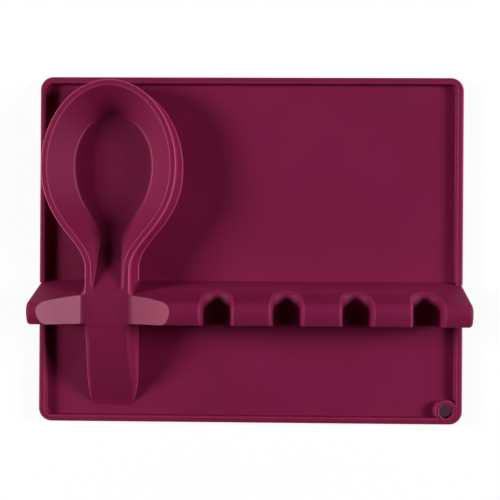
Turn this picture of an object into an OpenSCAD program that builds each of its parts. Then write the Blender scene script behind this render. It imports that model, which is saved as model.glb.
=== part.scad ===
// Utensil and spoon rest: a shallow drip tray with a notched bridge for handles,
// a spoon bowl whose neck crosses the bridge, and a hanging eyelet in one corner.
// The real object is one silicone moulding. Its main forms are separate solids here,
// which meet face to face. Origin: under the middle of the tray, on the table.

/* [Tray] */
// Width of the tray, side to side
tray_w = 260; // [240:1:320]
// Depth of the tray, front to back
tray_d = 212; // [200:1:260]
// Outer corner radius of the tray
tray_corner_r = 8; // [6:0.5:9]
// Thickness of the tray floor
floor_t = 2; // [1.5:0.1:3]
// Height of the rim above the table
rim_h = 6.5; // [5.5:0.1:9]
// Width of the rim
rim_w = 4; // [3:0.1:5]
// Rounding of the rim's top edges
rim_round = 1.2; // [0.4:0.1:1.4]
// Rounding where the rim meets the floor, inside
rim_foot_r = 1; // [0.4:0.1:2]

/* [Hanging eyelet] */
// Diameter of the hanging hole
hole_d = 8.5; // [5:0.5:9]
// Wall of the eyelet round its hole
eyelet_wall = 2.65; // [2:0.05:3]
// Hole's middle to the tray's right edge
eyelet_from_right = 9.8; // [9:0.1:14]
// Hole's middle to the tray's front edge
eyelet_from_front = 8; // [7.5:0.1:14]

/* [Bridge] */
// Height of the bridge above the table
bridge_h = 37; // [33:0.5:42]
// Depth of the bridge where it stands on the floor
bridge_d = 25.1; // [23:0.1:28]
// Bridge's front face to the tray's front edge
bridge_from_front = 61.7; // [58:0.1:70]
// Lean of the bridge's back face, from level
back_lean = 70.3; // [68:0.1:73]
// Front face to the highest line of the crest
crest_from_front = 8.7; // [8:0.1:9.2]
// Radius of the crest
crest_r = 14; // [13:0.5:16]
// Radius of the crest's back shoulder
back_shoulder_r = 6; // [5:0.5:6.5]
// Radius of the crest's front shoulder
front_shoulder_r = 2.5; // [1:0.1:4]
// Rounding of the crest at the bridge's two ends
bridge_end_r = 2.4; // [1:0.1:4]
// Wall of the hollow mouldings
wall = 3; // [2:0.1:3.4]

/* [Utensil notches] */
// Number of notches
notch_count = 4; // [2:1:4]
// Distance from one notch to the next
notch_pitch = 41; // [36:0.5:44]
// Middle of the last notch to the tray's right edge
notch_from_right = 26; // [22:0.5:30]
// Width of a notch at its round bottom
notch_w = 15.8; // [12:0.1:19]
// Depth of a notch below the crest
notch_depth = 18.2; // [12:0.1:22]
// Lean of a notch's sides, in degrees
notch_draft = 6; // [2:0.5:8]
// Rounding of a notch's lips
notch_lip_r = 1.3; // [0.8:0.1:2.5]

/* [Spoon bowl] */
// Spoon's middle line to the tray's left edge
spoon_from_left = 45.1; // [44.5:0.1:52]
// Half of the bowl's width over its rim
bowl_half_w = 40.5; // [36:0.1:40.5]
// Place of the bowl's widest line, as a share of its length from the tip
bowl_reach_share = 0.456; // [0.4:0.002:0.5]
// Height of the rim at the tip, above the table
tip_h = 21; // [17:0.5:24]
// Height of the bowl's floor above the table
bowl_floor_h = 5.4; // [5.2:0.1:10]
// Half of the bowl floor's width
bowl_floor_half_w = 24.3; // [18:0.1:26]
// Floor's reach towards the tip, as a share of the bowl's
floor_reach_share = 0.604; // [0.5:0.002:0.65]
// Floor's flank down to the groove, as a share of the bowl's
floor_flank_share = 0.758; // [0.6:0.002:0.78]
// Floor's widest line, nearer the tip than the bowl's
floor_forward = 2; // [0:0.1:4]
// Start of the groove's ramp below the floor's widest line, as a share of the bowl's flank
ramp_from_share = 0.596; // [0.5:0.002:0.7]
// Width of the spoon's rim
spoon_rim_w = 3.7; // [3:0.1:4.5]
// Rounding of the spoon's rim
spoon_edge_r = 0.9; // [0.3:0.1:1.2]
// Draft of the spoon's outer walls, in degrees
draft = 5; // [2:0.5:6]

/* [Neck, saddle and tail] */
// Half of the neck's width at its top
neck_half_w = 13.3; // [11:0.1:15]
// Length of the neck, from the bowl to the bridge
neck_l = 15; // [10:0.5:18]
// Height of the saddle floor above the table
saddle_h = 24; // [21:0.5:26]
// Half of the saddle's width
saddle_half_w = 15.4; // [15:0.1:17]
// Depth of the saddle floor below the wings' inner edges
saddle_step = 1.2; // [0.6:0.1:2]
// Radius of the scoop that forms the wings
scoop_r = 62; // [56:1:70]
// Half of the groove floor's width
groove_half_w = 6; // [3:0.1:6.5]
// Length of the tail in front of the bridge
tail_l = 52; // [44:0.5:54]
// Height of the tail's end above the tray floor
tail_toe = 0.6; // [0.4:0.1:1]
// Rounding of the tail's top edges at the bridge
tail_top_r = 1.5; // [1:0.1:2.5]
// Rounding of the tail's top edges lower down
tail_edge_r = 4; // [2:0.1:4.5]
// Distance from the bridge to where that rounding is full
tail_round_l = 12; // [8:1:20]
// Share of its width that the tail's end loses
tail_narrow_share = 0.235; // [0.1:0.005:0.4]

/* [Hidden] */

cut = 0.5;             // overrun of every cut past a face
silicone = [0.42, 0.07, 0.22];
silicone_light = [0.5, 0.12, 0.29];
arc_steps = 8;         // straight pieces in each rounded corner of a profile

tray_x = tray_w / 2;   // half sizes of the tray
tray_y = tray_d / 2;
inner_x = tray_x - rim_w;
inner_y = tray_y - rim_w;
spoon_x = -tray_x + spoon_from_left;
front_y = -tray_y + bridge_from_front;   // front face of the bridge
back_y = front_y + bridge_d;             // its back foot
inner_corner_r = 0.8;                    // tightest corner inside the hollow bridge
arc_gap = 1;           // degrees left out of an arc beside the next one

function arc(c, r, a0, a1, n = arc_steps) =
    [for (i = [0:n]) let (a = a0 + (a1 - a0) * i / n) c + r * [cos(a), sin(a)]];
function mix(a, b, t) = a + (b - a) * t;
function bezier(p, t) =
    let (s = 1 - t) p[0] * s * s * s + p[1] * 3 * s * s * t + p[2] * 3 * s * t * t + p[3] * t * t * t;

// Drip tray. The rim's section is drawn with x inwards from the tray's outer face.

module rim_section() {
    r = rim_round;
    polygon(concat(
        [[0, 0]],
        arc([r, rim_h - r], r, 180, 90),
        arc([rim_w - r, rim_h - r], r, 90, 0),
        arc([rim_w + rim_foot_r, floor_t + rim_foot_r], rim_foot_r, 180, 270),
        [[rim_w + rim_foot_r, 0]]));
}

// One straight side of the rim, along the tray edge whose half length is half_l,
// at the distance reach from the middle.
module rim_side(half_l, reach) {
    translate([0, -reach, 0]) rotate([90, 0, 90])
        linear_extrude(height = 2 * (half_l - tray_corner_r), center = true) rim_section();
}

module rim_corner(sx, sy, turn) {
    translate([sx * (tray_x - tray_corner_r), sy * (tray_y - tray_corner_r), 0])
        rotate([0, 0, turn]) rotate_extrude(angle = 90, $fn = 64)
            translate([tray_corner_r, 0]) mirror([1, 0]) rim_section();
}

module rim() {
    for (turn = [0, 180]) rotate([0, 0, turn]) rim_side(tray_x, tray_y);
    for (turn = [90, 270]) rotate([0, 0, turn]) rim_side(tray_y, tray_x);
    rim_corner(1, 1, 0);
    rim_corner(-1, 1, 90);
    rim_corner(-1, -1, 180);
    rim_corner(1, -1, 270);
}

module floor_plate() {
    linear_extrude(height = floor_t) {
        square([2 * inner_x, tray_d - 2 * tray_corner_r], center = true);
        square([tray_w - 2 * tray_corner_r, 2 * inner_y], center = true);
        for (sx = [-1, 1], sy = [-1, 1])
            translate([sx * (tray_x - tray_corner_r), sy * (tray_y - tray_corner_r)])
                circle(r = tray_corner_r - rim_w, $fn = 64);
    }
}

module drip_tray() color(silicone) difference() {
    union() {
        rim();
        floor_plate();
    }
    bridge_prism(floor_t, tray_x + cut);
    spoon_solid();
    eyelet_boss(cut);
    bridge_hollow();
    spoon_slot();
    tail_hollow();
}

// Hanging eyelet

module eyelet_boss(over = 0) {
    translate([tray_x - eyelet_from_right, -tray_y + eyelet_from_front, -over])
        cylinder(h = rim_h + 2 * over, d = hole_d + 2 * eyelet_wall, $fn = 64);
}

module hang_eyelet() color(silicone_light) difference() {
    eyelet_boss();
    translate([tray_x - eyelet_from_right, -tray_y + eyelet_from_front, -cut])
        cylinder(h = rim_h + 2 * cut, d = hole_d, $fn = 64);
}

// Bridge. Its section is drawn with x backwards from the front face and y upwards.
// inset moves the whole outline inwards, for the hollow.

function back_normal() = [sin(back_lean), cos(back_lean)];

module bridge_section(inset, foot) {
    n = back_normal();
    r_crest = crest_r - inset;
    r_back = back_shoulder_r - inset;
    r_front = max(front_shoulder_r - inset, inner_corner_r);
    crest_c = [crest_from_front, bridge_h - crest_r];
    heel = [bridge_d, floor_t] - inset * n;
    // the back shoulder touches the crest arc and the back face
    back_turn = back_lean - acos((-r_back - n * (crest_c - heel)) / (r_crest - r_back));
    back_c = crest_c + (r_crest - r_back) * [sin(back_turn), cos(back_turn)];
    // the front shoulder touches the crest arc and the front face
    front_turn = asin((inset + r_front - crest_from_front) / (r_crest - r_front));
    front_c = crest_c + (r_crest - r_front) * [sin(front_turn), cos(front_turn)];
    heel_x = bridge_d - inset / n[0];
    polygon(concat(
        [[inset, foot]],
        arc(front_c, r_front, 180, 90 - front_turn),
        arc(crest_c, r_crest, 90 - front_turn - arc_gap, 90 - back_turn + arc_gap),
        arc(back_c, r_back, 90 - back_turn, 90 - back_lean),
        [[heel_x, floor_t]],
        foot < floor_t ? [[heel_x, foot]] : []));
}

// Seen from the front: a block with rounded top corners, as wide as the tray
module bridge_ends() {
    r = bridge_end_r;
    translate([0, front_y - cut, 0]) rotate([90, 0, 180])
        linear_extrude(height = bridge_d + 2 * cut) polygon(concat(
            [[-tray_x, 0]],
            arc([-tray_x + r, bridge_h - r], r, 180, 90),
            arc([tray_x - r, bridge_h - r], r, 90, 0),
            [[tray_x, 0]]));
}

// The section run along the bridge, half_l to each side
module bridge_prism(foot, half_l, inset = 0) {
    translate([0, front_y, 0]) rotate([90, 0, 90])
        linear_extrude(height = 2 * half_l, center = true) bridge_section(inset, foot);
}

function notch_x(i) = tray_x - notch_from_right - i * notch_pitch;

// A notch seen from the front: a U with leaning sides and rolled lips at the crest.
// grow thickens it for the wall that the hollow leaves round it.
module notch_shape(grow = 0) {
    r = notch_w / 2 + grow;
    turn_h = bridge_h - notch_depth + notch_w / 2;
    top = bridge_h + cut;
    lip_h = bridge_h - notch_lip_r;
    function side_x(h) = r / cos(notch_draft) + (h - turn_h) * tan(notch_draft);
    lip_x = side_x(lip_h) + notch_lip_r / cos(notch_draft);
    bottom = arc([0, turn_h], r, 180 + notch_draft, 360 - notch_draft, 2 * arc_steps);
    polygon(grow > 0
        ? concat([[-side_x(top), top]], bottom, [[side_x(top), top]])
        : concat(
            [[-lip_x, top]],
            arc([-lip_x, lip_h], notch_lip_r, 90, notch_draft),
            bottom,
            arc([lip_x, lip_h], notch_lip_r, 180 - notch_draft, 90),
            [[lip_x, top]]));
}

module notches(grow = 0) {
    for (i = [0:notch_count - 1])
        translate([notch_x(i), front_y - cut, 0]) rotate([90, 0, 180])
            linear_extrude(height = bridge_d + 2 * cut) notch_shape(grow);
}

// The saddle: a wide scoop whose two sides are the wings, and the flat floor
// between them, which carries on the top of the neck.
wing_inner_h = saddle_h + saddle_step;
scoop_c_h = wing_inner_h + sqrt(scoop_r * scoop_r - saddle_half_w * saddle_half_w);
step_r = saddle_step;

module scoop(drop = 0) {
    translate([spoon_x, front_y + bridge_d + cut, scoop_c_h - drop]) rotate([90, 0, 0])
        cylinder(h = bridge_d + 2 * cut, r = scoop_r, $fn = 180);
}

module saddle_channel(floor_h, half_w) {
    translate([spoon_x, front_y - cut, 0]) rotate([90, 0, 180])
        linear_extrude(height = bridge_d + 2 * cut) polygon(concat(
            [[-half_w, bridge_h + cut]],
            arc([-half_w + step_r, floor_h + step_r], step_r, 180, 270),
            arc([half_w - step_r, floor_h + step_r], step_r, 270, 360),
            [[half_w, bridge_h + cut]]));
}

// What the scoop leaves in the middle, for the channel to cut
module saddle_block() {
    half_w = saddle_half_w - step_r;
    translate([spoon_x - half_w, front_y - cut, 0]) cube([2 * half_w, bridge_d + 2 * cut, bridge_h + cut]);
}

module saddle_cut() {
    difference() {
        scoop();
        saddle_block();
    }
    saddle_channel(saddle_h, saddle_half_w);
}

module bridge_hollow() {
    difference() {
        bridge_prism(-cut, tray_x - wall, wall);
        notches(wall);
        scoop(wall);
        saddle_channel(saddle_h - wall, saddle_half_w);
    }
}

module utensil_bridge() color(silicone) difference() {
    intersection() {
        bridge_prism(floor_t, tray_x + cut);
        bridge_ends();
    }
    notches();
    saddle_cut();
    bridge_hollow();
}

// Spoon bowl. Its outline is half of an egg: stations run from the tip, round the
// widest line, and down the neck to the bridge. Each station is [x from the middle
// line, y], and the left half mirrors the right.

egg_steps = 11;        // stations from the tip to the widest line
flank_steps = 12;      // from there to the start of the neck
neck_steps = 5;        // down the neck
last = egg_steps + flank_steps + neck_steps;
function back_face_y(z) = back_y - (z - floor_t) / tan(back_lean);

neck_top_y = back_face_y(saddle_h) + neck_l;
bowl_l = inner_y - neck_top_y;       // the tip touches the tray's back rim
bowl_reach = bowl_reach_share * bowl_l;
bowl_y = inner_y - bowl_reach;       // the widest line
bowl_flank = bowl_y - neck_top_y;
flank_pull_shares = [0.58, 0.29];    // pulls of the flank's curve, as shares of its length
floor_y = bowl_y + floor_forward;
floor_reach = floor_reach_share * bowl_reach;
floor_flank = floor_flank_share * bowl_flank;
floor_end_y = floor_y - floor_flank;
floor_pull_shares = [0.6, 0.255];    // the same for the floor's edge
function rim_z(y) = saddle_h + (tip_h - saddle_h) * (y - back_face_y(saddle_h))
    / (inner_y - back_face_y(saddle_h));

function outline(i) =
    i <= egg_steps
        ? let (a = 90 - 90 * i / egg_steps) [bowl_half_w * cos(a), bowl_y + bowl_reach * sin(a)]
    : i <= egg_steps + flank_steps
        ? bezier([[bowl_half_w, bowl_y],
                  [bowl_half_w, bowl_y - flank_pull_shares[0] * bowl_flank],
                  [neck_half_w, neck_top_y + flank_pull_shares[1] * bowl_flank],
                  [neck_half_w, neck_top_y]], (i - egg_steps) / flank_steps)
    : [neck_half_w, mix(neck_top_y, back_face_y(saddle_h), (i - egg_steps - flank_steps) / neck_steps)];

function normal(i) =
    i == 0 ? [0, 1] : i >= egg_steps + flank_steps ? [1, 0]
    : let (d = outline(i + 1) - outline(i - 1)) [-d[1], d[0]] / norm(d);

function moved(i, by) = outline(i) + by * normal(i);

// How far a station is down the neck, from 0 to 1
function down_neck(i) = max(0, (i - egg_steps - flank_steps) / neck_steps);

function floor_line(i) =
    let (groove_y = mix(floor_end_y, back_face_y(saddle_h) + spoon_rim_w / 2, down_neck(i)))
    i <= egg_steps
        ? let (a = 90 - 90 * i / egg_steps)
            [bowl_floor_half_w * cos(a), floor_y + floor_reach * sin(a)]
    : i <= egg_steps + flank_steps
        ? bezier([[bowl_floor_half_w, floor_y],
                  [bowl_floor_half_w, floor_y - floor_pull_shares[0] * floor_flank],
                  [groove_half_w, floor_end_y + floor_pull_shares[1] * floor_flank],
                  [groove_half_w, floor_end_y]], (i - egg_steps) / flank_steps)
    : [groove_half_w + down_neck(i) * spoon_rim_w / 2, groove_y];

// The floor is level under the bowl, then climbs the groove as a straight ramp.
ramp_from_y = floor_y - ramp_from_share * bowl_flank;
function floor_z(i) =
    let (y = floor_line(i)[1], end_y = back_face_y(saddle_h) + spoon_rim_w / 2,
         s = max(0, (ramp_from_y - y) / (ramp_from_y - end_y)))
    mix(bowl_floor_h, rim_z(end_y), s);

// The neck's end follows the bridge's leaning back face at every height.
function slid(i, p, z) = [p[0], p[1] + (back_face_y(z) - back_face_y(saddle_h)) * down_neck(i)];

// The outer wall, with its draft. The wall stands upright at the tip, where it
// touches the rim.
function wall_point(i, z, inset = 0) =
    let (across = normal(i)[0], lean = (rim_z(outline(i)[1]) - z) * tan(draft) * across * across)
    slid(i, moved(i, lean - inset), z);

// The left half never passes the line at left_limit, from the tray's middle.
function ring(points, heights, left_limit = tray_x) = [
    for (i = [0:last]) [spoon_x + points[i][0], points[i][1], heights[i]],
    for (i = [last:-1:1]) [max(spoon_x - points[i][0], -left_limit), points[i][1], heights[i]]];

function level_ring(z, left_limit = tray_x) =
    ring([for (i = [0:last]) wall_point(i, z)], [for (i = [0:last]) z], left_limit);

function rim_ring(inset, drop) =
    ring([for (i = [0:last]) moved(i, -inset)], [for (i = [0:last]) rim_z(outline(i)[1]) - drop]);

// The rim's inner edge closes in over the end of the groove.
function inner_edge(i, inset, grow) =
    let (p = moved(i, -inset), t = down_neck(i))
    [mix(p[0], floor_line(last)[0] + grow + spoon_rim_w - inset, t * t), p[1] + t * inset / 2];

function bowl_ring(inset, drop, sink) =
    ring([for (i = [0:last]) mix(inner_edge(i, inset, spoon_edge_r), floor_line(i), sink)],
         [for (i = [0:last]) mix(rim_z(outline(i)[1]) - drop * (1 - down_neck(i)), floor_z(i), sink)]);

// A closed skin over a stack of rings, with flat strips across the first and the last
module skin(rings) {
    n = len(rings[0]);
    half = (n - 1) / 2;
    levels = len(rings);
    top = (levels - 1) * n;
    function pair(k) = k == 0 ? 0 : n - k;
    points = [for (r = rings) for (p = r) p];
    sides = [for (j = [0:levels - 2]) for (k = [0:n - 1])
        let (a = j * n + k, b = j * n + (k + 1) % n)
            each [[a, b, b + n], [a, b + n, a + n]]];
    bottom_strip = [for (k = [0:half - 1])
        each (k == 0 ? [[0, n - 1, 1]]
            : [[k, pair(k), k + 1], [k + 1, pair(k), pair(k + 1)]])];
    top_strip = [for (f = bottom_strip) [top + f[2], top + f[1], top + f[0]]];
    polyhedron(points = points, faces = concat(sides, bottom_strip, top_strip), convexity = 10);
}

edge_share = 0.3;            // a rounded edge's middle, from each face that it joins
inner_drop_share = 0.6;      // the inner edge's drop, of the rim's rounding
slope_shares = [0, 0.5, 1];  // rings down the slope, from the rim to the floor

module spoon_solid() {
    skin([
        level_ring(floor_t, inner_x),
        level_ring(rim_h, inner_x),
        level_ring(rim_h + rim_w),
        rim_ring(0, spoon_edge_r),
        rim_ring(spoon_edge_r * edge_share, spoon_edge_r * edge_share),
        rim_ring(spoon_edge_r, 0),
        bowl_ring(spoon_rim_w - spoon_edge_r, 0, 0),
        for (sink = slope_shares) bowl_ring(spoon_rim_w, spoon_edge_r * inner_drop_share, sink)]);
}

// The hollow under the bowl and neck: up inside the outer wall, then down under the
// bowl's slope to its floor.
roof_share = 0.42;     // height of the hollow's roof, from the rim down to the floor
function roof_z(i) = mix(rim_z(outline(i)[1]), floor_z(i), roof_share) - wall;

// Below the neck, the hollow keeps clear of the bridge by a wall.
function shifted(i, by) = [0, down_neck(i) * by];
behind_bridge = wall / sin(back_lean);
hollow_foot = [for (i = [0:last]) wall_point(i, floor_t, wall) + shifted(i, behind_bridge)];

module spoon_hollow() {
    skin([
        ring(hollow_foot, [for (i = [0:last]) -cut], inner_x - wall),
        ring(hollow_foot, [for (i = [0:last]) floor_t], inner_x - wall),
        ring([for (i = [0:last]) wall_point(i, roof_z(i), wall) + shifted(i, behind_bridge)],
             [for (i = [0:last]) roof_z(i)], inner_x - wall),
        ring([for (i = [0:last]) floor_line(i) + [i == 0 ? 0 : wall / 2, 0] + shifted(i, wall)],
             [for (i = [0:last]) floor_z(i) - wall])]);
}

// What the hollow leaves open in the tray's floor
module spoon_slot() {
    translate([0, 0, -cut]) linear_extrude(height = floor_t + 2 * cut)
        polygon([for (p = ring(hollow_foot, [for (i = [0:last]) 0], inner_x - wall)) [p[0], p[1]]]);
}

module spoon_bowl() color(silicone_light) difference() {
    spoon_solid();
    spoon_hollow();
}

// Tail: it curves from the saddle down to the tray floor, in front of the bridge

tail_steps = 12;       // pieces along the tail
tail_arc_steps = 4;    // straight pieces in its rounded edges
saddle_rise = saddle_h - floor_t;
tail_start_shares = [0.577, 0.8];  // pulls of its curve, as shares of its length and rise
tail_end_shares = [0.846, 0.09];
narrow_from_share = 0.615;           // where along its length the tail starts to narrow
tail_narrow_power = 2.2;

// The tail's middle line: distance in front of the bridge, and height above the tray floor
tail_line = [for (i = [0:tail_steps]) bezier([
    [0, saddle_rise],
    [tail_start_shares[0] * tail_l, tail_start_shares[1] * saddle_rise],
    [tail_end_shares[0] * tail_l, tail_end_shares[1] * saddle_rise],
    [tail_l, tail_toe]], i / tail_steps)];

function tail_rise(d) = lookup(d, tail_line);

function tail_round(d) = mix(tail_top_r, tail_edge_r, min(1, d / tail_round_l));

// Cross-section of the tail: drafted sides and rounded top edges
function tail_section(rise, inset, round) =
    let (r = min(round, rise / 2), half = neck_half_w - inset,
         foot = half + saddle_rise * tan(draft), top = foot - rise * tan(draft))
    concat([[foot, 0]],
        arc([top - r, rise - r], r, 0, 90, tail_arc_steps),
        arc([-top + r, rise - r], r, 90, 180, tail_arc_steps),
        [[-foot, 0]]);

function tail_end_shrink(d) =
    let (from = narrow_from_share * tail_l, t = max(0, (d - from) / (tail_l - from)))
    1 - tail_narrow_share * pow(t, tail_narrow_power);

module tail_skin(sections) {
    n = len(sections[0]);
    m = len(sections);
    points = [for (s = sections) for (p = s) p];
    sides = [for (j = [0:m - 2]) for (k = [0:n - 1])
        let (a = j * n + k, b = j * n + (k + 1) % n)
            each [[a, b + n, b], [a, a + n, b + n]]];
    ends = [[for (k = [0:n - 1]) k], [for (k = [n - 1:-1:0]) (m - 1) * n + k]];
    polyhedron(points = points, faces = concat(sides, ends), convexity = 6);
}

module tail_solid() {
    tail_skin([for (at = tail_line)
        [for (p = tail_section(at[1], 0, tail_round(at[0])))
            [spoon_x + p[0] * tail_end_shrink(at[0]), front_y - at[0], floor_t + p[1]]]]);
}

tail_hollow_share = 0.55;

module tail_hollow() {
    tail_skin([for (d = [wall, tail_hollow_share * tail_l])
        [for (p = tail_section(tail_rise(d) - wall, wall, tail_edge_r / 2))
            [spoon_x + p[0], front_y - d, p[1] > 0 ? floor_t + p[1] : -cut]]]);
}

module spoon_tail() color(silicone_light) difference() {
    tail_solid();
    tail_hollow();
}

drip_tray();
hang_eyelet();
utensil_bridge();
spoon_bowl();
spoon_tail();
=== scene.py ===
# Silicone utensil and spoon rest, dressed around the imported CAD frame.
# Sizes in the dictionaries are millimetres. X runs along the bridge, Y to the back, Z up.
from math import acos, asin, atan, cos, pi, radians, sin, sqrt, tan

import bpy
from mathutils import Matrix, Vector


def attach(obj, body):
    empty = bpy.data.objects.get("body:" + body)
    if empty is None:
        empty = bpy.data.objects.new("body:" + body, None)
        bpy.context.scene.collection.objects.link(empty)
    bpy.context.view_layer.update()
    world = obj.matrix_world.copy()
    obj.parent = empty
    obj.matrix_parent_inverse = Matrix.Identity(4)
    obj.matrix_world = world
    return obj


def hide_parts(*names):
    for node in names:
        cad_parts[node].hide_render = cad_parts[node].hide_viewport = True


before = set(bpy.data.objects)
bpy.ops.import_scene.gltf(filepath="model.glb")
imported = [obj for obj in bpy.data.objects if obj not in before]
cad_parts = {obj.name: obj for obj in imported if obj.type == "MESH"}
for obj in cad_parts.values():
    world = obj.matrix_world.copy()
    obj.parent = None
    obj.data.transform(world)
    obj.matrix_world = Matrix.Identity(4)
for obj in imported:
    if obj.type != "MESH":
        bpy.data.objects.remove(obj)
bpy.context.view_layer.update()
print("frame loaded:", sorted(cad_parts))

mm = 0.001
near = 0.01  # two places this close are the same
clear = 0.1  # and two this far apart are not
fineMerge = 0.002  # for skins with very small faces
past = 3  # how far a cutter reaches in front of the bridge and behind it
above = 4  # how far it reaches over the bridge, or up from the table
below = -1  # where a cutter through the tray starts


# Small tools

def at(x, y, z):
    return Vector((x * mm, y * mm, z * mm))


def pick(piece):
    bpy.ops.object.select_all(action="DESELECT")
    piece.select_set(True)
    bpy.context.view_layer.objects.active = piece


def mark(piece, kind, test):
    # selects faces, edges or points of a piece by a test on each, then stays in edit mode
    pick(piece)
    bpy.ops.object.mode_set(mode="EDIT")
    bpy.ops.mesh.select_mode(type=kind)
    bpy.ops.mesh.select_all(action="DESELECT")
    bpy.ops.object.mode_set(mode="OBJECT")
    mesh = piece.data
    parts = {"FACE": mesh.polygons, "EDGE": mesh.edges, "VERT": mesh.vertices}[kind]
    count = 0
    for part in parts:
        if test(part):
            part.select = True
            count += 1
    bpy.ops.object.mode_set(mode="EDIT")
    return count


def leaveEdit():
    bpy.ops.object.mode_set(mode="OBJECT")


def ends(piece, edge):
    return [piece.data.vertices[i].co / mm for i in edge.vertices]


def roundEdges(piece, test, size, steps):
    count = mark(piece, "EDGE", test)
    bpy.ops.mesh.bevel(offset=size * mm, segments=steps)
    leaveEdit()
    return count


def cleanUp(piece, merge=near):
    pick(piece)
    bpy.ops.object.mode_set(mode="EDIT")
    bpy.ops.mesh.select_all(action="SELECT")
    bpy.ops.mesh.remove_doubles(threshold=merge * mm)
    bpy.ops.mesh.normals_make_consistent(inside=False)
    leaveEdit()
    return piece


def ringOf(name, points):  # a circle whose points are set in place, in millimetres
    bpy.ops.object.select_all(action="DESELECT")
    bpy.ops.mesh.primitive_circle_add(vertices=len(points), radius=1, fill_type="NOTHING")
    piece = bpy.context.object
    piece.name = piece.data.name = name
    for vert, p in zip(piece.data.vertices, points):
        vert.co = at(*p)
    return piece, list(range(len(points)))


def inRing(ring):  # a test for the edges of a ring
    members = set(ring)
    return lambda e: e.vertices[0] in members and e.vertices[1] in members


def growRing(piece, ring, points):  # extrudes the ring's edges and sets the new points in place
    mark(piece, "EDGE", inRing(ring))
    bpy.ops.mesh.extrude_edges_move(TRANSFORM_OT_translate={"value": (0, 0, 0)})
    leaveEdit()
    verts = piece.data.vertices
    fresh = {}
    for i in range(len(verts) - len(ring), len(verts)):
        fresh.setdefault(tuple(verts[i].co), []).append(i)
    grown = [fresh[tuple(verts[i].co)].pop() for i in ring]
    for i, p in zip(grown, points):
        verts[i].co = at(*p)
    return grown


def skin(name, rings, highlights=()):  # a stack of rings, open at its first and last
    piece, ring = ringOf(name, rings[0])
    rows = [ring]
    for points in rings[1:]:
        rows.append(growRing(piece, rows[-1], points))
    if highlights:  # how much each ring, or each of its points, shows the painted highlight along a fine edge
        highlightMask = piece.data.attributes.new("edge", "FLOAT", "POINT")
        for row, line in zip(rows, highlights):
            for k, i in enumerate(row):
                highlightMask.data[i].value = line[k] if isinstance(line, list) else line
    return piece, rows[0], rows[-1]


def paintHighlight(piece, share):  # the same painted highlight on a finished piece, by a rule on each point
    highlightMask = piece.data.attributes.new("edge", "FLOAT", "POINT")
    for vert in piece.data.vertices:
        highlightMask.data[vert.index].value = share(vert.co / mm)


def closeFlat(piece, *rings):  # one face over each flat ring
    for ring in rings:
        mark(piece, "EDGE", inRing(ring))
        bpy.ops.mesh.edge_face_add()
        leaveEdit()


def closeAcross(piece, ring):  # strips across a ring whose points mirror each other about its first
    half, last = len(ring) // 2, len(ring) - 1
    order = {v: k for k, v in enumerate(ring)}

    def onSide(edge):
        a, b = (order.get(v, -1) for v in edge.vertices)
        if a < 0 or b < 0 or abs(a - b) not in (1, last):
            return False
        # the two halves stay two loops, so the edges at both ends of the middle line are left out
        low, high = min(a, b), max(a, b)
        return not (low == 0 and high in (1, last)) and (low, high) != (half, half + 1)

    mark(piece, "EDGE", onSide)
    bpy.ops.mesh.bridge_edge_loops()
    leaveEdit()
    mark(piece, "VERT", lambda v: v.index in (ring[0], ring[1], ring[-1]))
    bpy.ops.mesh.edge_face_add()
    leaveEdit()


def cutWith(piece, cutter, keep=False):
    pick(piece)
    step = piece.modifiers.new("cut", "BOOLEAN")
    step.operation = "DIFFERENCE"
    step.solver = "EXACT"
    step.object = cutter
    bpy.ops.object.modifier_apply(modifier=step.name)
    if not keep:
        bpy.data.objects.remove(cutter)


def smooth(piece, angle):
    pick(piece)
    bpy.ops.object.shade_smooth_by_angle(angle=radians(angle))


def arc(cx, cy, r, start, end, steps):
    return [(cx + r * cos(radians(start + (end - start) * k / steps)),
             cy + r * sin(radians(start + (end - start) * k / steps))) for k in range(steps + 1)]


def mix(a, b, t):
    return a + (b - a) * t


def limit(value):
    return min(1.0, max(0.0, value))


def acosDegrees(v):
    return acos(v) * 180 / pi


def asinDegrees(v):
    return asin(v) * 180 / pi


def bezier(p, t):
    s = 1 - t
    return tuple(p[0][k] * s ** 3 + 3 * p[1][k] * s * s * t + 3 * p[2][k] * s * t * t + p[3][k] * t ** 3
                 for k in (0, 1))


def prism(name, outline, low, high, axis):  # a closed outline run along one axis
    place = {"X": lambda u, v, w: (w, u, v), "Y": lambda u, v, w: (u, w, v),
             "Z": lambda u, v, w: (u, v, w)}[axis]
    piece, first, last = skin(name, [[place(u, v, w) for u, v in outline] for w in (low, high)])
    closeFlat(piece, first, last)
    return cleanUp(piece)


# Materials

class Sock:  # a socket that takes part in Python sums
    def __init__(self, mat, value):
        self.mat, self.value = mat, value

    def sum(self, kind, other):
        return self.mat.make("ShaderNodeMath", {"operation": kind}, {0: self, 1: other})["Value"]

    def __add__(self, other): return self.sum("ADD", other)
    def __sub__(self, other): return self.sum("SUBTRACT", other)
    def __mul__(self, other): return self.sum("MULTIPLY", other)


class Finish:  # one material and its nodes
    def __init__(self, name):
        self.material = bpy.data.materials.new(name)
        self.material.use_nodes = True
        self.tree = self.material.node_tree
        self.tree.nodes.clear()

    def make(self, kind, settings, sockets):
        node = self.tree.nodes.new(kind)
        for key, value in settings.items():
            if key == "stops":
                ramp = node.color_ramp
                while len(ramp.elements) < len(value):
                    ramp.elements.new(0.5)
                for element, (place, colour) in zip(ramp.elements, value):
                    element.position, element.color = place, colour
            else:
                setattr(node, key, value)
        for key, value in sockets.items():
            socket = node.inputs[key]
            if isinstance(value, Sock):
                self.tree.links.new(value.value, socket)
            else:
                socket.default_value = value
        return {out.name: Sock(self, out) for out in node.outputs}


def fromScreen(r, g, b):  # sRGB 0-255 to linear
    def line(c):
        c /= 255
        return c / 12.92 if c <= 0.04045 else ((c + 0.055) / 1.055) ** 2.4
    return (line(r), line(g), line(b), 1)


# In both looks, edge is the colour of the painted highlight along fine edges, and also of the worn specks
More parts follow.
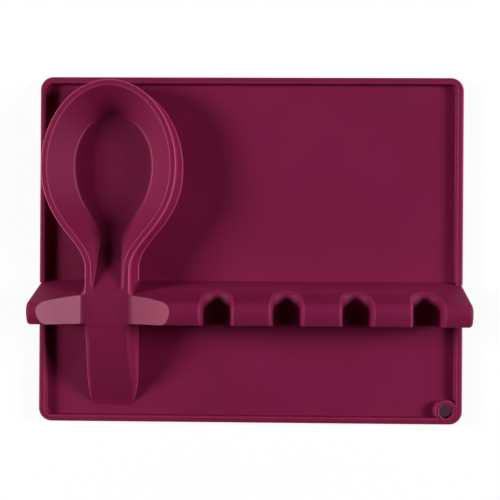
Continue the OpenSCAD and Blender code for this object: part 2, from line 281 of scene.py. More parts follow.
silicone = dict(
    deep=fromScreen(104, 6, 50), body=fromScreen(115, 9, 58), bloom=fromScreen(130, 18, 70),
    mottleScale=14, grainScale=1500, grainBump=0.09, waveScale=55, waveBump=0.04,
    edge=fromScreen(192, 70, 114), worn=0.0, rough=(0.6, 0.7),
    sheen=0.0, sheenTint=fromScreen(210, 130, 160), ior=1.29)
# the wings' finish: its paler colours are partly the frosted surface and partly painted sheen, the whitish
# reflection of the lamps
frostedWithSheen = dict(
    deep=fromScreen(134, 50, 80), body=fromScreen(147, 56, 87), bloom=fromScreen(164, 78, 108),
    mottleScale=60, grainScale=2200, grainBump=0.22, waveScale=90, waveBump=0.05,
    edge=fromScreen(196, 128, 152), worn=0.7, rough=(0.7, 0.85),
    sheen=0.05, sheenTint=fromScreen(230, 170, 190), ior=1.41)
pattern = dict(  # what both share
    # detail and roughness of each noise
    mottle=(5.0, 0.6), specks=(2.0, 0.7), waves=(2.0, 0.5), dust=(4.0, 0.75),
    mottleShare=0.4, specksShare=0.12, base=0.24, stops=(0.32, 0.5, 0.86),
    dustScale=420.0, dustFrom=0.62, dustTo=0.8, dustMost=0.35, dustShare=0.3,
    # the worn pad starts between these, in metres along X
    wornFrom=-0.083, wornTo=-0.087, wornSpecks=1.6, wornLess=0.3,
    roughSpecks=0.3, roughFrom=0.4, roughTo=0.9,
    waveDepth=0.002, grainDepth=0.0004, sheenRough=0.45)


def siliconeFinish(name, look):
    f, p = Finish(name), pattern
    where = f.make("ShaderNodeTexCoord", {}, {})["Object"]

    def noise(scale, detail, rough):
        return f.make("ShaderNodeTexNoise", {}, {"Vector": where, "Scale": scale, "Detail": detail,
                                                 "Roughness": rough})["Fac"]

    def spread(value, start, end, least, most):  # one range onto another
        return f.make("ShaderNodeMapRange", {}, {"Value": value, "From Min": start, "From Max": end,
                                                 "To Min": least, "To Max": most})["Result"]

    def blend(share, first, second):
        both = f.make("ShaderNodeMix", {"data_type": "RGBA"}, {0: share, 6: first, 7: second})["Result"]
        return Sock(f, both.value.node.outputs[2])

    mottle = noise(look["mottleScale"], *p["mottle"])
    specks = noise(look["grainScale"], *p["specks"])
    waves = noise(look["waveScale"], *p["waves"])
    dust = spread(noise(p["dustScale"], *p["dust"]), p["dustFrom"], p["dustTo"], 0.0, p["dustMost"])
    stops = list(zip(p["stops"], (look["deep"], look["body"], look["bloom"])))
    colour = f.make("ShaderNodeValToRGB", {"stops": stops},
                    {"Fac": mottle * p["mottleShare"] + specks * p["specksShare"] + p["base"]})["Color"]
    colour = blend(dust * p["dustShare"], colour, look["bloom"])
    # painted highlight: each piece's edge attribute lightens its fine edges towards the edge colour
    line = f.make("ShaderNodeAttribute", {"attribute_name": "edge"}, {})["Fac"]
    colour = blend(line, colour, look["edge"])
    # one pad is more worn than the other
    across = f.make("ShaderNodeSeparateXYZ", {}, {"Vector": where})["X"]
    side = spread(across, p["wornFrom"], p["wornTo"], 0.0, look["worn"])
    colour = blend(side * (specks * p["wornSpecks"] - p["wornLess"]), colour, look["edge"])
    rough = spread(mottle + specks * p["roughSpecks"], p["roughFrom"], p["roughTo"], *look["rough"])
    softBump = f.make("ShaderNodeBump", {}, {"Strength": look["waveBump"], "Distance": p["waveDepth"],
                                             "Height": waves})["Normal"]
    grain = f.make("ShaderNodeBump", {}, {"Strength": look["grainBump"], "Distance": p["grainDepth"],
                                          "Height": specks, "Normal": softBump})["Normal"]
    shader = f.make("ShaderNodeBsdfPrincipled", {}, {
        "Base Color": colour, "Roughness": rough, "Normal": grain, "IOR": look["ior"],
        "Sheen Weight": look["sheen"], "Sheen Roughness": p["sheenRough"],
        "Sheen Tint": look["sheenTint"]})["BSDF"]
    f.make("ShaderNodeOutputMaterial", {}, {"Surface": shader})
    return f.material


burgundy = siliconeFinish("burgundySilicone", silicone)
frostedSheenFinish = siliconeFinish("frostedSiliconeWithPaintedSheen", frostedWithSheen)
print("materials made")


# Drip tray

tray = dict(width=260, depth=212, corner=8, floor=2, rim=6.5, band=4, topRound=1.2, footRound=1.0,
            tableRound=0.3, cornerSteps=16, topSteps=5, footSteps=4, tableSteps=2,
            # painted highlights along the outer and the inner edge of the rim's top
            longHighlights=(0.08, 0.15), leftHighlights=(0.2, 0.2), rightHighlights=(0.5, 0.2))
trayX, trayY = tray["width"] / 2, tray["depth"] / 2
innerX, innerY = trayX - tray["band"], trayY - tray["band"]


def edgeDistance(p):  # from the tray's outline
    dx, dy = trayX - abs(p.x), trayY - abs(p.y)
    r = tray["corner"]
    if dx < r and dy < r:
        return r - sqrt((r - dx) ** 2 + (r - dy) ** 2)
    return min(dx, dy)


def rimHighlight(p):  # painted highlight on both edges of the rim's top
    if p.z < tray["rim"] - tray["topRound"] + 2 * near or p.z > tray["rim"] - near:
        return 0.0
    side = tray["rightHighlights"] if p.x > 0 else tray["leftHighlights"]
    outer, inner = tray["longHighlights"] if abs(p.x) < innerX else side
    return outer if edgeDistance(p) < tray["band"] / 2 else inner


def makeTray():
    bpy.ops.object.select_all(action="DESELECT")
    bpy.ops.mesh.primitive_cube_add(size=mm, location=at(0, 0, tray["rim"] / 2))
    piece = bpy.context.object
    piece.name = piece.data.name = "dripTray"
    piece.scale = (tray["width"], tray["depth"], tray["rim"])
    bpy.ops.object.transform_apply(location=True, rotation=True, scale=True)

    def upright(e):
        a, b = ends(piece, e)
        return abs(a.z - b.z) > tray["rim"] / 2

    def rimTop(e):
        a, b = ends(piece, e)
        return abs(a.z - tray["rim"]) < near and abs(b.z - tray["rim"]) < near and not crossBand(a, b)

    def crossBand(a, b):  # spokes between the rim's two edges
        return abs(edgeDistance(a) - edgeDistance(b)) > tray["band"] / 2

    def foot(e):
        return all(abs(p.z - tray["floor"]) < near and abs(edgeDistance(p) - tray["band"]) < clear
                   for p in ends(piece, e))

    def tableEdge(e):
        return all(p.z < near for p in ends(piece, e))

    roundEdges(piece, upright, tray["corner"], tray["cornerSteps"])
    mark(piece, "FACE", lambda f: f.normal.z > 0.9)
    bpy.ops.mesh.inset(thickness=tray["band"] * mm)
    down = (tray["floor"] - tray["rim"]) * mm
    bpy.ops.mesh.extrude_region_move(TRANSFORM_OT_translate={"value": (0, 0, down)})
    leaveEdit()
    roundEdges(piece, rimTop, tray["topRound"], tray["topSteps"])
    roundEdges(piece, foot, tray["footRound"], tray["footSteps"])
    roundEdges(piece, tableEdge, tray["tableRound"], tray["tableSteps"])  # very slightly eased
    return cleanUp(piece)


# Bridge

bridge = dict(height=37, depth=25.1, frontY=-44.3, lean=70.3, crestFromFront=8.7, crestR=14, backR=6,
              frontR=2.5, leastR=0.8, wall=3, backWallShare=1.07, endRound=2.4, notches=(104, 63, 22, -19),
              notchHalf=7.9, notchDepth=18.2, notchDraft=6, lip=1.6,
              frontSteps=8, crestSteps=16, backSteps=10, endSteps=6, notchSteps=24, lipSteps=5,
              # where the edges of the lips are looked for
              lipBelow=3, lipFront=0.05, lipBack=1, lipWithin=0.3, sideWithin=0.2,
              # the painted highlight along the lips, its place and half its width
              lipHighlight=0.4, lipHighlightAt=1.1, lipHighlightHalf=0.5)
backY = bridge["frontY"] + bridge["depth"]
saddle = dict(x=-84.9, height=24, half=15.4, step=1.2, scoopR=62, scoopIn=4, scoopLift=1.5, scoopSteps=28,
              fillet=5, filletSteps=8)


def backFaceY(z):
    return backY - (z - tray["floor"]) / tan(radians(bridge["lean"]))


def bridgeSection(inset, foot):  # (y, z) points round the section
    nx, nz = sin(radians(bridge["lean"])), cos(radians(bridge["lean"]))
    rCrest = bridge["crestR"] - inset
    rBack = bridge["backR"] - inset
    rFront = max(bridge["frontR"] - inset, bridge["leastR"])
    cx, cz = bridge["crestFromFront"], bridge["height"] - bridge["crestR"]
    hx, hz = bridge["depth"] - inset * nx, tray["floor"] - inset * nz
    backTurn = bridge["lean"] - acosDegrees((-rBack - (nx * (cx - hx) + nz * (cz - hz))) / (rCrest - rBack))
    bx = cx + (rCrest - rBack) * sin(radians(backTurn))
    bz = cz + (rCrest - rBack) * cos(radians(backTurn))
    frontTurn = asinDegrees((inset + rFront - cx) / (rCrest - rFront))
    fx = cx + (rCrest - rFront) * sin(radians(frontTurn))
    fz = cz + (rCrest - rFront) * cos(radians(frontTurn))
    heel = bridge["depth"] - inset / nx
    pts = [(inset, foot)]
    pts += arc(fx, fz, rFront, 180, 90 - frontTurn, bridge["frontSteps"])
    pts += arc(cx, cz, rCrest, 90 - frontTurn, 90 - backTurn, bridge["crestSteps"])[1:-1]
    pts += arc(bx, bz, rBack, 90 - backTurn, 90 - bridge["lean"], bridge["backSteps"])
    pts += [(heel, tray["floor"])]
    if foot < tray["floor"]:
        pts += [(heel, foot)]
    return [(bridge["frontY"] + u, v) for u, v in pts]


def notchSide(z, grow=0.0):  # half of a notch's width at a height
    draft = radians(bridge["notchDraft"])
    return (bridge["notchHalf"] + grow) / cos(draft) + (z - notchTurn) * tan(draft)


notchTurn = bridge["height"] - bridge["notchDepth"] + bridge["notchHalf"]
notchTop = notchSide(bridge["height"])


def acrossBridge(name, outline):
    return prism(name, outline, bridge["frontY"] - past, backY + past, "Y")


def notchCutter(x, grow=0.0):
    r, lean, high = bridge["notchHalf"] + grow, bridge["notchDraft"], bridge["height"] + above
    steps = bridge["notchSteps"]
    turns = [180 + lean + (180 - 2 * lean) * k / steps for k in range(steps + 1)]
    outline = [(x - notchSide(high, grow), high)]
    outline += [(x + r * cos(radians(a)), notchTurn + r * sin(radians(a))) for a in turns]
    outline += [(x + notchSide(high, grow), high)]
    return acrossBridge("notchCutter", outline)


def fromNotch(p):  # how far a point lies from the nearest notch's side
    if p.z > notchTurn:
        gaps = [abs(p.x - x) - notchSide(p.z) for x in bridge["notches"]]
    else:
        gaps = [sqrt((p.x - x) ** 2 + (p.z - notchTurn) ** 2) - bridge["notchHalf"]
                for x in bridge["notches"]]
    return min(abs(gap) for gap in gaps)


def scoopCutter(drop=0.0):
    s = saddle
    inner = s["height"] + s["step"]
    centre = inner + sqrt(s["scoopR"] ** 2 - s["half"] ** 2) - drop
    over = centre - bridge["height"] - above
    turn = atan(sqrt(s["scoopR"] ** 2 - over ** 2) / over) * 180 / pi
    innerTurn = asinDegrees((s["half"] - s["scoopIn"]) / s["scoopR"])
    left = arc(s["x"], centre, s["scoopR"], 270 - turn, 270 - innerTurn, s["scoopSteps"])
    right = arc(s["x"], centre, s["scoopR"], 270 + innerTurn, 270 + turn, s["scoopSteps"])
    middle = [(x, z + s["scoopLift"]) for x, z in (left[-1], right[0])]
    return acrossBridge("scoopCutter", left + middle + right)


def channelCutter(drop=0.0):
    s = saddle
    floor, r, high = s["height"] - drop, s["fillet"], bridge["height"] + above
    # a gentle concave edge that reaches the wing's inner edge at its side
    bend = acosDegrees(1 - s["step"] / r)
    side = r * sin(radians(bend))
    left = arc(s["x"] - s["half"] + side, floor + r, r, 270 - bend, 270, s["filletSteps"])
    right = arc(s["x"] + s["half"] - side, floor + r, r, 270, 270 + bend, s["filletSteps"])
    outline = [(s["x"] - s["half"], high)] + left + right + [(s["x"] + s["half"], high)]
    return acrossBridge("channelCutter", outline)


def makeBridge():
    piece = prism("utensilBridge", bridgeSection(0, tray["floor"]), -trayX, trayX, "X")
    low = bridge["height"] - bridge["notchDepth"] - bridge["lipBelow"]
    faceOf = {}

    def endEdge(e):  # round the section at both ends, except along the foot
        a, b = ends(piece, e)
        return (abs(abs(a.x) - trayX) < near and abs(a.x - b.x) < near
                and max(a.z, b.z) > tray["floor"] + clear)

    def lipEdge(e):  # along the notches, all but on the front face and inside
        a, b = ends(piece, e)
        if min(a.z, b.z) < low or max(a.y, b.y) > backY - bridge["lipBack"]:
            return False
        if max(a.y, b.y) < bridge["frontY"] + bridge["lipFront"]:
            return False
        mid = (a + b) / 2
        return any(abs(mid.x - x) <= notchTop + bridge["lipWithin"]
                   and sum(insideNotch(f, x) for f in faceOf.get(e.key, [])) == 1
                   for x in bridge["notches"])

    def insideNotch(f, x):
        n = f.normal
        c = f.center / mm
        return (abs(n.y) < 2 * near and abs(c.x - x) < notchTop + bridge["sideWithin"]
                and (c.x - x) * n.x <= near)

    # painted highlight along the notches' lips
    def lipHighlight(p):
        if p.z <= low or p.y <= bridge["frontY"] + clear:
            return 0.0
        away = abs(fromNotch(p) - bridge["lipHighlightAt"]) / bridge["lipHighlightHalf"]
        return bridge["lipHighlight"] * max(0.0, 1 - away)

    roundEdges(piece, endEdge, bridge["endRound"], bridge["endSteps"])
    cleanUp(piece)
    piece.data.materials.append(burgundy)
    piece.data.materials.append(frostedSheenFinish)
    for x in bridge["notches"]:
        cutWith(piece, notchCutter(x))
    for f in piece.data.polygons:
        for key in f.edge_keys:
            faceOf.setdefault(key, []).append(f)
    print("lip edges", roundEdges(piece, lipEdge, bridge["lip"], bridge["lipSteps"]))
    for cutter, finish in ((scoopCutter(), frostedSheenFinish), (channelCutter(), burgundy)):
        cutter.data.materials.append(finish)
        cutWith(piece, cutter)
    wall = bridge["wall"]
    hollow = prism("hollowCutter", bridgeSection(wall, below), -trayX + wall, trayX - wall, "X")
    for x in bridge["notches"]:
        cutWith(hollow, notchCutter(x, wall))
    cutWith(hollow, scoopCutter(wall))
    cutWith(hollow, channelCutter(wall))
    cutWith(piece, hollow)
    paintHighlight(piece, lipHighlight)
    return piece


# Spoon bowl and neck

spoon = dict(x=-84.9, halfWidth=40.5, reachShare=0.456, neckLength=15, neckHalf=13.3, tipHeight=21,
             rimHeight=24, rim=3.7, edge=0.9, draft=5, floorHeight=5.4, floorHalf=24.3, floorReach=0.604,
             floorFlank=0.758, floorForward=2, grooveHalf=6, rampFrom=0.596, wall=3, footFillet=0.7,
             flankPull=(0.58, 0.29), floorPull=(0.6, 0.255), flare=2.2, sag=0.02, grooveSag=0.12,
             softFrom=24, softOver=14, roofShare=0.42, rimMiddle=0.55, roundSteps=26, flankSteps=28,
             # what is left of the neck at each of its stations
             neckLeft=(13, 11, 9, 7, 5.4, 4, 3, 2.2, 1.6, 1.1, 0.7, 0.35, 0),
             # heights of the wall's rings beside the tray's rim and over it, and shares down the slope
             lowWall=(4.5, tray["rim"]), highWall=(9, 13, 17),
             slopeShares=(0.02, 0.12, 0.3, 0.5, 0.7, 0.86, 0.95, 0.982),
             # the rounded step down to the floor: share of the way in, depth, share of the crease's painted
             # highlight
             floorStep=((0.0, 0.0, 1), (0.006, 0.05, 1), (0.013, 0.18, 0), (0.026, 0.48, 0),
                        (0.036, 0.6, 0), (0.055, 0.65, 0), (0.2, 0.68, 0), (0.5, 0.7, 0)),
             # painted highlights, by the turn in degrees round the foot's fillet and the rim's two edges
             footHighlight=((0, 0.4), (30, 0.5), (60, 0.3), (90, 0)),
             outerHighlight=((0, 0.4), (22, 0.9), (45, 0.9), (67, 0.35), (90, 0)),
             innerHighlight=((90, 0), (67, 0.15), (45, 0.55), (22, 0.55), (0, 0.15)), innerFrom=0.5, innerOver=4,
             creaseHighlight=0.75, creaseAhead=8, tipFrom=0.68, tipOver=0.22)
neckTop = backFaceY(spoon["rimHeight"]) + spoon["neckLength"]
bowlLength = innerY - neckTop
bowlReach = spoon["reachShare"] * bowlLength
bowlY = innerY - bowlReach
bowlFlank = bowlY - neckTop
floorY = bowlY + spoon["floorForward"]
floorReach = spoon["floorReach"] * bowlReach
floorFlank = spoon["floorFlank"] * bowlFlank
floorEnd = floorY - floorFlank
neckEnd = backFaceY(spoon["rimHeight"])
rampFrom = floorY - spoon["rampFrom"] * bowlFlank


def rimZ(y):
    return mix(spoon["rimHeight"], spoon["tipHeight"], (y - neckEnd) / (innerY - neckEnd))


def flankCurve(half, y, reach, pull, endHalf, endY):  # from the widest place to the neck
    return [(half, y), (half, y - pull[0] * reach), (endHalf, endY + pull[1] * reach), (endHalf, endY)]


def spoonStations():
    s = spoon
    rows = []
    for k in range(s["roundSteps"] + 1):
        a = radians(90 - 90 * k / s["roundSteps"])
        rows.append(((s["halfWidth"] * cos(a), bowlY + bowlReach * sin(a)),
                     (s["floorHalf"] * cos(a), floorY + floorReach * sin(a)), 0.0))
    flank = flankCurve(s["halfWidth"], bowlY, bowlFlank, s["flankPull"], s["neckHalf"], neckTop)
    floor = flankCurve(s["floorHalf"], floorY, floorFlank, s["floorPull"], s["grooveHalf"], floorEnd)
    for k in range(1, s["flankSteps"] + 1):
        t = k / s["flankSteps"]
        rows.append((bezier(flank, t), bezier(floor, t), 0.0))
    for left in s["neckLeft"]:
        t = 1 - left / s["neckLength"]
        rows.append(((s["neckHalf"], mix(neckTop, neckEnd, t)),
                     (s["grooveHalf"] + t * s["rim"] / 2, mix(floorEnd, neckEnd + s["rim"] / 2, t)), t))
    stations = []
    for i, (p, f, t) in enumerate(rows):
        if i == 0:
            n = (0.0, 1.0)
        elif t > 0 or rows[min(i + 1, len(rows) - 1)][2] > 0:
            n = (1.0, 0.0)
        else:
            a, b = rows[i - 1][0], rows[i + 1][0]
            size = sqrt((b[0] - a[0]) ** 2 + (b[1] - a[1]) ** 2)
            n = (-(b[1] - a[1]) / size, (b[0] - a[0]) / size)
        stations.append(dict(p=p, n=n, f=f, t=t, left=s["neckLength"] * (1 - t)))
    return stations


stations = spoonStations()
lastFloor = stations[-1]["f"]


def fullRing(points, leftLimit=trayX):
    # mirrors the right half, whose points are (x, y, z) from the spoon's middle line
    right = [(spoon["x"] + x, y, z) for x, y, z in points]
    left = [(max(spoon["x"] - x, -leftLimit), y, z) for x, y, z in points[:0:-1]]
    return right + left


def flareOf(left):  # the neck and the tail widen softly where they meet the bridge
    r = spoon["flare"]
    return r - sqrt(r * r - (r - left) ** 2) if left < r else 0.0


def wallPoint(st, z, inset=0.0, flare=True):
    rim = rimZ(st["p"][1])
    lean = (rim - z) * tan(radians(spoon["draft"])) * st["n"][0] ** 2 - inset
    x, y = st["p"][0] + lean * st["n"][0], st["p"][1] + lean * st["n"][1]
    y += (backFaceY(z) - neckEnd) * max(0.0, st["t"])
    return x + (flareOf(st["left"]) if flare else 0.0), y, z


def rimPoint(st, inset, drop):
    t = st["t"]
    x, y = st["p"][0] - inset * st["n"][0], st["p"][1] - inset * st["n"][1]
    target = lastFloor[0] + spoon["edge"] + spoon["rim"] - inset
    if inset > spoon["rim"] / 2:
        x, y = mix(x, target, t * t), y + t * inset / 2
    else:
        x += flareOf(st["left"]) * (1 - inset / spoon["rim"] * 2)
    return x, y, rimZ(st["p"][1]) - drop * (1 - t ** 3)


def floorZ(y):
    end = neckEnd + spoon["rim"] / 2
    share = max(0.0, (rampFrom - y) / (rampFrom - end))
    return mix(spoon["floorHeight"], rimZ(end), share)


def softness(y):  # 0 over the bowl's floor, 1 down the groove
    return limit((spoon["softFrom"] - y) / spoon["softOver"])


def slopePoint(st, share):
    x0, y0, z0 = rimPoint(st, spoon["rim"], spoon["edge"])
    fx, fy = st["f"]
    z1 = floorZ(fy)
    sag = mix(spoon["sag"], spoon["grooveSag"], softness(fy)) * (z0 - z1) * 4 * share * (1 - share)
    return mix(x0, fx, share), mix(y0, fy, share), mix(z0, z1, share) - sag


def stepPoint(st, share, down):  # share of the way in to the middle line
    x, y, z = slopePoint(st, 1)
    fade = 1 - softness(y)
    if y > floorY:
        y = mix(y, floorY, share)
    return x * (1 - share), y, z - down * fade


def creaseHighlightShare(st):  # painted highlight along the floor's crease; it fades towards the groove and towards the tip
    s, y = spoon, st["f"][1]
    groove = (s["softFrom"] + s["creaseAhead"] - y) / s["softOver"]
    tip = ((y - floorY) / floorReach - s["tipFrom"]) / s["tipOver"]
    return s["creaseHighlight"] * (1 - limit(max(groove, tip)))


def bothSides(values):
    return values + values[:0:-1]


def makeBowl():
    s = spoon
    behind = s["wall"] / sin(radians(bridge["lean"]))
    rings, highlights = [], []

    def ring(point, leftLimit=trayX, line=0.0):
        rings.append(fullRing([point(st) for st in stations], leftLimit))
        highlights.append(line)

    # underside, from the middle outwards
    def underFloor(st):
        fx, fy = st["f"]
        return (fx + s["wall"] / 2 if fx > near else 0.0), fy + st["t"] * s["wall"], floorZ(fy) - s["wall"]

    def roof(st, z=None):
        height = mix(rimZ(st["p"][1]), floorZ(st["f"][1]), s["roofShare"]) - s["wall"] if z is None else z
        x, y, z = wallPoint(st, height, s["wall"], flare=False)
        return x, y + st["t"] * behind, z
    ring(underFloor)
    ring(roof, innerX - s["wall"])
    ring(lambda st: roof(st, tray["floor"]), innerX - s["wall"])
    # outer wall, with a small fillet at its foot and a painted highlight along it
    r = s["footFillet"]
    for a, line in s["footHighlight"]:
        out = r * (1 - sin(radians(a)))
        z = tray["floor"] + r * (1 - cos(radians(a)))
        ring(lambda st: wallPoint(st, z, -out * st["n"][0] ** 2), innerX, line)
    for z in s["lowWall"]:
        ring(lambda st: wallPoint(st, z), innerX)
    for z in s["highWall"]:
        ring(lambda st: wallPoint(st, z))
    # rim: a painted highlight along both of its edges
    e = s["edge"]
    for a, line in s["outerHighlight"]:
        ring(lambda st: rimPoint(st, e * (1 - cos(radians(a))), e * (1 - sin(radians(a)))), line=line)
    ring(lambda st: rimPoint(st, s["rim"] * s["rimMiddle"], 0))
    # the inner painted highlight ends before the bridge
    into = bothSides([limit((st["left"] - s["innerFrom"]) / s["innerOver"]) for st in stations])
    for a, line in s["innerHighlight"]:
        ring(lambda st: rimPoint(st, s["rim"] - e + e * cos(radians(a)), e * (1 - sin(radians(a)))),
             line=[line * k for k in into])
    for share in s["slopeShares"]:
        ring(lambda st: slopePoint(st, share))
    # painted highlight along the crease where the slope steps down to the floor
    creaseHighlight = bothSides([creaseHighlightShare(st) for st in stations])
    for share, down, highlighted in s["floorStep"]:
        ring(lambda st: stepPoint(st, share, down), line=[highlighted * k for k in creaseHighlight])
    piece, first, last = skin("spoonBowl", rings, highlights)
    closeAcross(piece, first)
    closeAcross(piece, last)
    return cleanUp(piece, fineMerge)


# Tail

tail = dict(length=52, startPull=(0.577, 0.8), endPull=(0.846, 0.09), edge=(1.4, 4.2), edgeOver=12,
            edgeMost=0.6, edgeSteps=8, toe=0.15, narrow=0.235, narrowFrom=0.615, narrowPower=2.2,
            hollowShare=0.55, footFillet=0.7, footBend=(0.35, 0.25), halvings=30,
            firstRows=[0, 0.35, 0.8, 1.4, 2.2, 3.5, 5, 7, 9.5], evenFrom=12, evenSteps=28,
            # painted highlights along the foot on the right and along the left edge of its top
            rightHighlight=[0, 0.25, 0.1], leftHighlight=[0.1, 0.25, 0.4, 0.4, 0.1, 0, 0])


def tailLine(t):  # distance in front of the bridge, and height above the tray's floor
    length, top = tail["length"], saddle["height"] - tray["floor"]
    return bezier([(0, top), (tail["startPull"][0] * length, tail["startPull"][1] * top),
                   (tail["endPull"][0] * length, tail["endPull"][1] * top), (length, tail["toe"])], t)


def tailAt(d):  # the curve's share at a distance
    low, high = 0.0, 1.0
    for step in range(tail["halvings"]):
        t = (low + high) / 2
        low, high = (t, high) if tailLine(t)[0] < d else (low, t)
    return low


def tailSection(d, inset=0.0):
    draft = tan(radians(spoon["draft"]))
    rise = tailLine(tailAt(d))[1] - inset
    r = min(mix(*tail["edge"], min(1, d / tail["edgeOver"])), rise * tail["edgeMost"])
    foot = spoon["neckHalf"] - inset + (saddle["height"] - tray["floor"]) * draft
    top = foot - rise * draft
    start = tail["narrowFrom"] * tail["length"]
    along = max(0.0, (d - start) / (tail["length"] - start))
    squeeze = 1 - tail["narrow"] * along ** tail["narrowPower"]
    flare = 0.0 if inset else flareOf(d)
    fr, (bendX, bendZ) = min(tail["footFillet"], rise / 3), tail["footBend"]
    right = [(foot, 0)] if inset else [(foot + fr, 0), (foot + fr * bendX, fr * bendZ), (foot, fr)]
    right += arc(top - r, rise - r, r, spoon["draft"], 90, tail["edgeSteps"])
    points = [((x + flare) * squeeze, z) for x, z in right]
    points += [(-x, z) for x, z in reversed(points)]
    return [(spoon["x"] + x, bridge["frontY"] - d, tray["floor"] + z) for x, z in points]


def makeTail():
    start, steps = tail["evenFrom"], tail["evenSteps"]
    lengths = tail["firstRows"] + [start + (tail["length"] - start) * k / steps for k in range(steps + 1)]
    sections = [tailSection(d) for d in lengths]
    # painted highlights along the tail's foot and the left edge of its top
    bare = len(sections[0]) - len(tail["rightHighlight"]) - len(tail["leftHighlight"])
    line = tail["rightHighlight"] + [0] * bare + tail["leftHighlight"]
    piece, first, last = skin("spoonTail", sections, [line] * len(lengths))
    closeFlat(piece, first, last)
    cleanUp(piece, fineMerge)
    w = spoon["wall"]
    hollow = [[(x, y, z if z > tray["floor"] + near else below) for x, y, z in tailSection(d, w)]
              for d in (w, tail["hollowShare"] * tail["length"])]
    cutter, first, last = skin("tailHollow", hollow)
    closeFlat(cutter, first, last)
    cleanUp(cutter, fineMerge)
    cutWith(piece, cutter, keep=True)
    return piece, cutter


# Hanging eyelet

eyelet = dict(x=120.2, y=-98, hole=8.5, wall=2.65, round=1.1, holeShare=0.7, joinRound=0.12, footFillet=0.6,
              bottomEase=0.3, underFloor=0.05, overlap=0.02, steps=64,
              # the ring stands free of the rim on this side
              looseTurn=135, looseFrom=0.35, looseOver=0.5,
              footTurns=(0, 30, 60, 90), outerTurns=(0, 15, 30, 45, 60, 75, 90),
              innerTurns=(0, 18, 36, 54, 72, 90),
              # painted highlights from the outer foot over the top to the hole, one value for each ring
              highlights=(0, 0.1, 0.1, 0.2, 0.1, 0, 0, 0.2, 0.5, 0.5, 0.2, 0, 0, 0, 0.1, 0.3, 0.3, 0.1, 0, 0, 0),
              # painted shadow: a disc under the hole glows with the shaded table's tone
              shadeRadius=6.5, shadeDrop=0.1, shadeSteps=48)
eyeletInner = eyelet["hole"] / 2
eyeletOuter = eyelet["hole"] / 2 + eyelet["wall"]


def eyeletPoint(k, radius):
    turn = 2 * pi * k / eyelet["steps"]
    return eyelet["x"] + radius * cos(turn), eyelet["y"] + radius * sin(turn)


def makeEyelet():
    outer, inner, h = eyeletOuter, eyeletInner, tray["rim"]
    floor, f, q = tray["floor"], eyelet["footFillet"], eyelet["round"] * eyelet["holeShare"]

    def loose(k):  # 1 where the ring stands free of the rim, 0 where it joins it
        away = cos(2 * pi * k / eyelet["steps"] - radians(eyelet["looseTurn"]))
        return limit((away + eyelet["looseFrom"]) / eyelet["looseOver"])

    def loop(shape):
        points = []
        for k in range(eyelet["steps"]):
            radius, z = shape(loose(k))
            points.append((*eyeletPoint(k, radius), z))
        return points

    def footEdge(free, a):
        return outer + f * free * (1 - sin(radians(a))), floor + f * (1 - cos(radians(a)))

    def outerEdge(free, a):
        r = mix(eyelet["joinRound"], eyelet["round"], free)
        return outer - r + r * cos(radians(a)), h - r + r * sin(radians(a))

    def innerEdge(free, a):
        return inner + q - q * sin(radians(a)), h - q + q * cos(radians(a))

    shapes = [lambda free: (outer, 0), lambda free: (outer + f * free, floor - eyelet["underFloor"])]
    shapes += [lambda free, a=a: footEdge(free, a) for a in eyelet["footTurns"]]
    shapes += [lambda free, a=a: outerEdge(free, a) for a in eyelet["outerTurns"]]
    shapes += [lambda free, a=a: innerEdge(free, a) for a in eyelet["innerTurns"]]
    shapes += [lambda free: (inner, eyelet["bottomEase"]), lambda free: (inner + eyelet["bottomEase"], 0)]
    piece, first, last = skin("hangEyelet", [loop(shape) for shape in shapes], eyelet["highlights"])
    mark(piece, "EDGE", inRing(first + last))
    bpy.ops.mesh.bridge_edge_loops()
    leaveEdit()
    return cleanUp(piece, fineMerge)


# Assembly

dripTray = makeTray()
print("tray", len(dripTray.data.polygons))
utensilBridge = makeBridge()
print("bridge", len(utensilBridge.data.polygons))
spoonBowl = makeBowl()
print("bowl", len(spoonBowl.data.polygons))
spoonTail, tailHollow = makeTail()
print("tail", len(spoonTail.data.polygons))
hangEyelet = makeEyelet()
print("eyelet", len(hangEyelet.data.polygons))


def cutTray():  # where the other pieces stand, and open under their hollows
    end, top = trayX + 2, tray["rim"] + 1  # past the tray's ends and over its rim
    cutWith(dripTray, prism("bridgeBlock", bridgeSection(0, tray["floor"]), -end, end, "X"))
    ring = [eyeletPoint(k, eyeletOuter - eyelet["overlap"]) for k in range(eyelet["steps"])]
    cutWith(dripTray, prism("eyeletBlock", ring, below, top, "Z"))
    wall = bridge["wall"]
    front, back = bridge["frontY"] + wall, backY - wall * bridge["backWallShare"]
    slot = [(front, below), (front, above), (back, above), (back, below)]
    cutWith(dripTray, prism("bridgeSlot", slot, -trayX + wall, trayX - wall, "X"))
    wall = spoon["wall"]
    behind = wall / sin(radians(bridge["lean"]))
    foot = fullRing([wallPoint(st, tray["floor"], wall, flare=False) for st in stations], innerX - wall)
    foot = [(x, max(y, backY + behind)) for x, y, z in foot]
    cutWith(dripTray, prism("bowlSlot", foot, below, above, "Z"))
    cutWith(dripTray, tailHollow)


cutTray()
paintHighlight(dripTray, rimHighlight)
print("tray cut", len(dripTray.data.polygons))

# each piece, the node it stands for, and the angle up to which its faces look smooth
for piece, node, angle in ((dripTray, "drip_tray", 40), (utensilBridge, "utensil_bridge", 32),
                           (spoonBowl, "spoon_bowl", 50), (spoonTail, "spoon_tail", 40),
                           (hangEyelet, "hang_eyelet", 40)):
    smooth(piece, angle)
    if not piece.data.materials:
        piece.data.materials.append(burgundy)
    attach(piece, "root")
    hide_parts(node)
print("pieces ride on the root")


# Studio, in metres, apart from the camera's place in millimetres

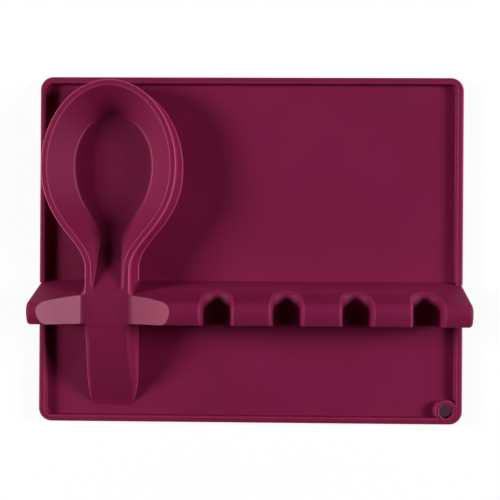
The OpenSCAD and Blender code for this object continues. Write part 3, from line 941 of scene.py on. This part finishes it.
studio = dict(floorSize=40, floorDrop=0.0002, wallRadius=8, wallHeight=3.4, wallSunk=0.1, wallSides=96,
              paper=(0.8, 0.8, 0.8, 1), glow=(1, 1, 1, 1), glowPower=1.03, glowShare=0.88,
              # the plain colour and the glowing tone of the painted shadow under the eyelet's hole
              holeShadow=(0.1, 0.08, 0.08, 1), shade=fromScreen(70, 42, 51), shadePower=1.0, shadeShare=1.0,
              # rise in degrees and power of each lamp
              left=(26.5, 27.6), right=(26, 28.2),
              lampDistance=1.6, lampSize=0.5, lampForward=6.5, fill=0.015)
view = dict(x=15.3, y=0, z=536, lens=62.2, sensor=36, tilt=1.1, roll=0.36, shiftX=-0.0176, shiftY=0.0005,
            clipStart=0.01)


def stageFinish(name, colour, glow, power, share):
    # it glows where it is looked at, and lights the part as plain paper
    f = Finish(name)
    seen = f.make("ShaderNodeLightPath", {}, {})
    looked = seen["Is Camera Ray"] + seen["Is Glossy Ray"] + seen["Is Transmission Ray"]
    plain = f.make("ShaderNodeBsdfDiffuse", {}, {"Color": colour})["BSDF"]
    bright = f.make("ShaderNodeEmission", {}, {"Color": glow, "Strength": power})["Emission"]
    mixed = f.make("ShaderNodeMixShader", {}, {0: looked * share, 1: plain, 2: bright})["Shader"]
    f.make("ShaderNodeOutputMaterial", {}, {"Surface": mixed})
    return f.material


def makeFloor():
    s = studio
    paper = stageFinish("paleFloor", s["paper"], s["glow"], s["glowPower"], s["glowShare"])
    bpy.ops.object.select_all(action="DESELECT")
    bpy.ops.mesh.primitive_plane_add(size=s["floorSize"], location=(0, 0, -s["floorDrop"]))
    floor = bpy.context.object
    floor.name = "paleFloor"
    floor.data.materials.append(paper)
    # the same paper stands round the table, for low views
    bpy.ops.object.select_all(action="DESELECT")
    bpy.ops.mesh.primitive_cylinder_add(vertices=s["wallSides"], radius=s["wallRadius"],
                                        depth=s["wallHeight"], end_fill_type="NOTHING",
                                        location=(0, 0, s["wallHeight"] / 2 - s["wallSunk"]))
    wall = bpy.context.object
    wall.name = "paleWall"
    wall.data.materials.append(paper)
    # painted shadow: a disc under the eyelet's hole that glows with a fixed shaded tone where it is looked
    # at
    bpy.ops.object.select_all(action="DESELECT")
    bpy.ops.mesh.primitive_circle_add(vertices=eyelet["shadeSteps"], radius=eyelet["shadeRadius"] * mm,
                                      fill_type="NGON",
                                      location=at(eyelet["x"], eyelet["y"], -eyelet["shadeDrop"]))
    shadowDisc = bpy.context.object
    shadowDisc.name = "paintedHoleShadow"
    holeShadow = stageFinish("paintedHoleShadow", s["holeShadow"], s["shade"], s["shadePower"], s["shadeShare"])
    shadowDisc.data.materials.append(holeShadow)


def makeLamp(name, side, rise, power):
    turn, rise = radians(studio["lampForward"]), radians(rise)
    direction = Vector((side * cos(turn) * cos(rise), sin(turn) * cos(rise), sin(rise)))
    lamp = bpy.data.lights.new(name, "AREA")
    lamp.shape, lamp.size, lamp.energy = "DISK", studio["lampSize"], power
    holder = bpy.data.objects.new(name, lamp)
    bpy.context.scene.collection.objects.link(holder)
    holder.location = direction * studio["lampDistance"]
    holder.rotation_euler = direction.to_track_quat("Z", "Y").to_euler()


def makeWorld():
    world = bpy.data.worlds.new("studioWorld")
    bpy.context.scene.world = world
    world.use_nodes = True
    tree = world.node_tree
    tree.nodes.clear()
    soft, out = tree.nodes.new("ShaderNodeBackground"), tree.nodes.new("ShaderNodeOutputWorld")
    soft.inputs["Strength"].default_value = studio["fill"]
    tree.links.new(soft.outputs[0], out.inputs[0])


def makeCamera():
    camera = bpy.data.cameras.new("photoView")
    camera.lens, camera.sensor_width = view["lens"], view["sensor"]
    camera.shift_x, camera.shift_y = view["shiftX"], view["shiftY"]
    camera.clip_start = view["clipStart"]
    holder = bpy.data.objects.new("photoView", camera)
    bpy.context.scene.collection.objects.link(holder)
    holder.location = at(view["x"], view["y"], view["z"])
    holder.rotation_euler = (0, radians(view["tilt"]), radians(view["roll"]))
    bpy.context.scene.camera = holder


makeFloor()
makeLamp("lampLeft", -1, *studio["left"])
makeLamp("lampRight", 1, *studio["right"])
makeWorld()
makeCamera()
bpy.context.scene.view_settings.view_transform = "Standard"
print("studio set")
